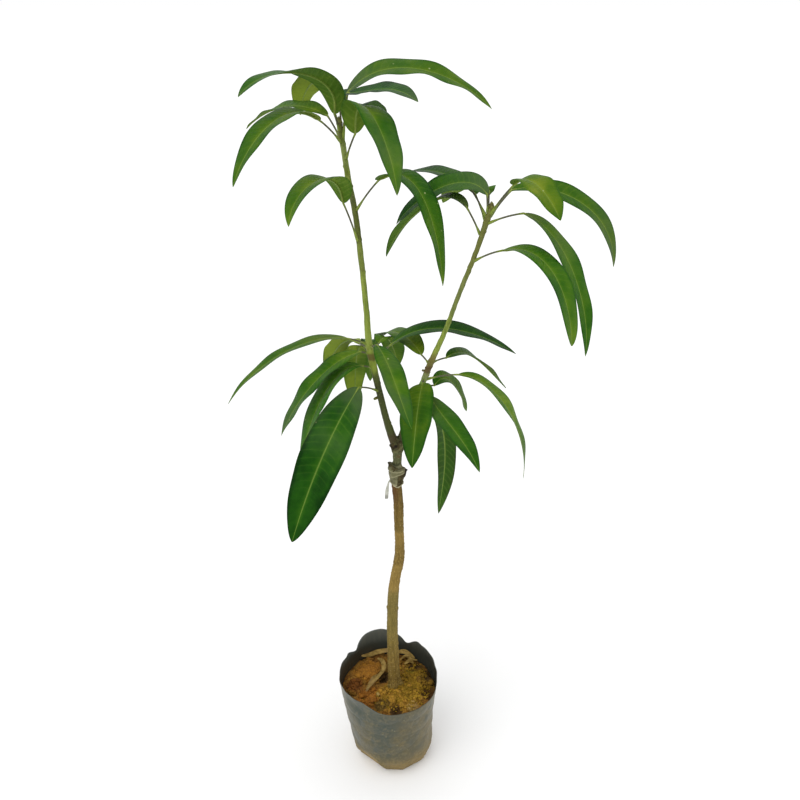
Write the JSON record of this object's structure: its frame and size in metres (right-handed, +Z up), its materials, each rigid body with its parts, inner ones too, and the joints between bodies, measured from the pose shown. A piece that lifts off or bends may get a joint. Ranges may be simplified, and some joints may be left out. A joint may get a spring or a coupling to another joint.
{
  "type": "grafted mango tree sapling in a nursery bag",
  "caption": "Young grafted mango tree with long arching leaves in whorls on a forked stem, standing in a soft black nursery bag filled with soil.",
  "frame": {"origin": "centre of the flat underside of the bag", "axes": "+Z up along the trunk, -Y towards the front, +X towards the shorter stem"},
  "size_m": [0.5289, 0.3089, 1.1311],
  "materials": {
    "bag": "dusty dark film",
    "soil": "rough orange-brown earth with moss",
    "bark": "fine tan bark",
    "young_bark": "grey-green young bark",
    "tape": "milky translucent film",
    "green_stem": "smooth green stem",
    "leaf": "leathery, slightly glossy leaf"
  },
  "bodies": {
    "root": {"bag": "bag", "soil": "soil", "rootstock": "bark", "scion": "young_bark", "graft_tape": "tape", "tape_tail": "tape", "left_stem": "green_stem", "right_stem": "green_stem", "left_top_leaf_1": "leaf", "left_top_leaf_2": "leaf", "left_top_leaf_3": "leaf", "left_top_leaf_4": "leaf", "left_top_leaf_5": "leaf", "left_top_leaf_6": "leaf", "left_top_leaf_7": "leaf", "left_top_leaf_8": "leaf", "left_top_leaf_9": "leaf", "left_top_leaf_10": "leaf", "left_top_leaf_11": "leaf", "right_top_leaf_1": "leaf", "right_top_leaf_2": "leaf", "right_top_leaf_3": "leaf", "right_top_leaf_4": "leaf", "right_top_leaf_5": "leaf", "right_top_leaf_6": "leaf", "right_top_leaf_7": "leaf", "right_top_leaf_8": "leaf", "right_top_leaf_9": "leaf", "left_low_leaf_1": "leaf", "left_low_leaf_2": "leaf", "left_low_leaf_3": "leaf", "left_low_leaf_4": "leaf", "left_low_leaf_5": "leaf", "left_low_leaf_6": "leaf", "left_low_leaf_7": "leaf", "left_low_leaf_8": "leaf", "left_low_leaf_9": "leaf", "left_low_leaf_10": "leaf", "right_low_leaf_1": "leaf", "right_low_leaf_2": "leaf", "right_low_leaf_3": "leaf", "right_low_leaf_4": "leaf", "right_low_leaf_5": "leaf", "right_low_leaf_6": "leaf", "right_low_leaf_7": "leaf"}
  },
  "joints": []
}
